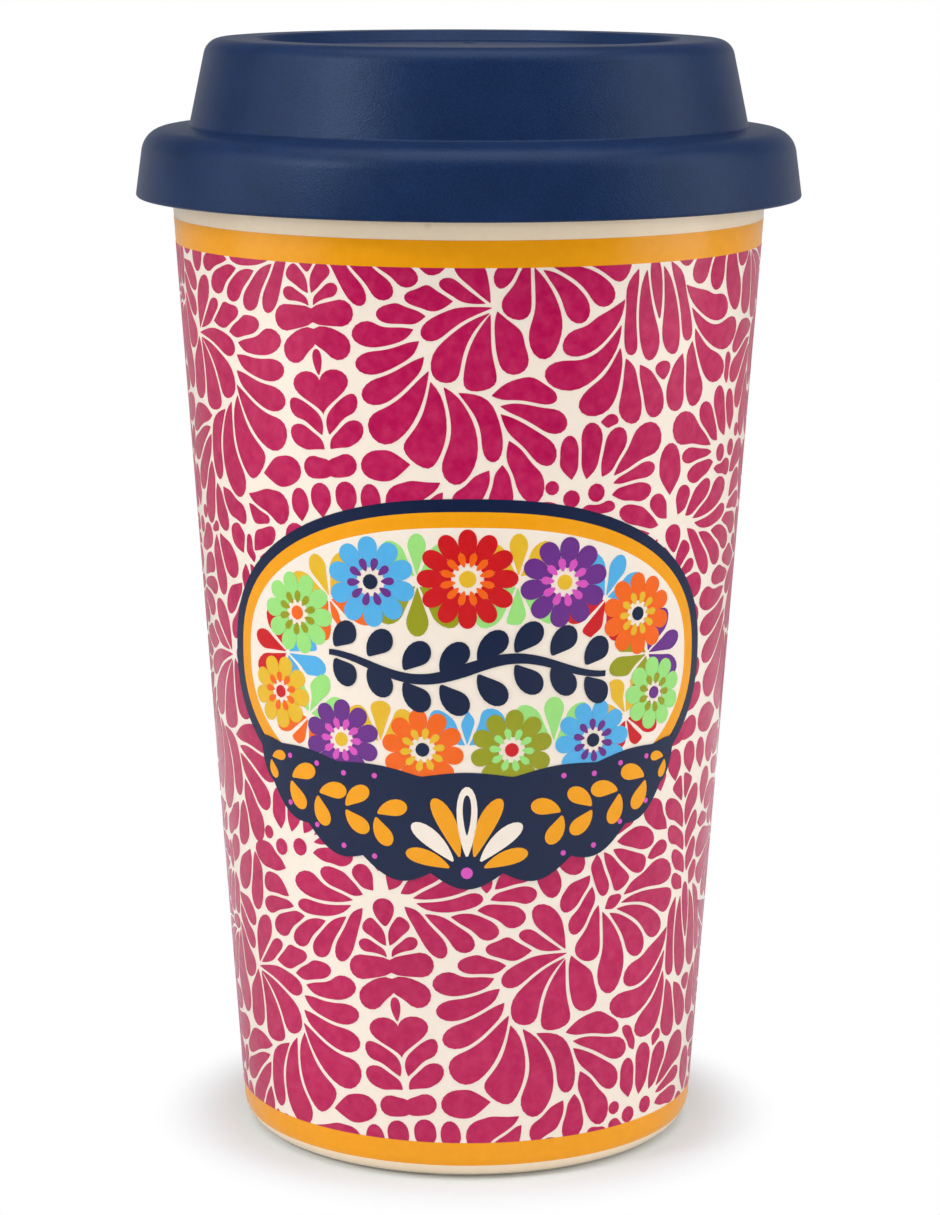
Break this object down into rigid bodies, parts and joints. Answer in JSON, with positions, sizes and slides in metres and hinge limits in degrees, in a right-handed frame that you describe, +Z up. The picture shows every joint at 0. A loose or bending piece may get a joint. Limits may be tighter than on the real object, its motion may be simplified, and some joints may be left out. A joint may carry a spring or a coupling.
{
  "type": "lidded travel cup",
  "caption": "Tapered double-walled ceramic travel cup with a petal print, an oval medallion and a push-on silicone lid that lifts off.",
  "frame": {"origin": "centre of the foot ring, on the surface that the cup stands on", "axes": "+Z up along the cup's axis, -Y towards the medallion, +X to the viewer's right"},
  "size_m": [0.0958, 0.0958, 0.1603],
  "materials": {
    "glazed_ceramic": "clear gloss glaze over a warm cream body",
    "plug_silicone": "matte silicone",
    "magenta_enamel": "magenta print fired under the glaze",
    "mustard_enamel": "mustard print fired under the glaze",
    "navy_enamel": "navy print fired under the glaze",
    "cream_enamel": "cream ground of the medallion, fired under the glaze",
    "lid_silicone": "matte navy silicone"
  },
  "bodies": {
    "cup": {"outer_shell": "glazed_ceramic", "inner_liner": "glazed_ceramic", "vent_plug": "plug_silicone", "petal_print": "magenta_enamel", "upper_band": "mustard_enamel", "lower_band": "mustard_enamel", "medallion_border": "navy_enamel", "medallion_band": "mustard_enamel", "medallion_field": "cream_enamel", "medallion_garland": "navy_enamel"},
    "lid": {"lid": "lid_silicone"}
  },
  "joints": [
    {"name": "lid_lift", "type": "slide", "parent": "cup", "child": "lid", "axis": [0, 0, 1], "range_m": [0, 0.06]}
  ]
}
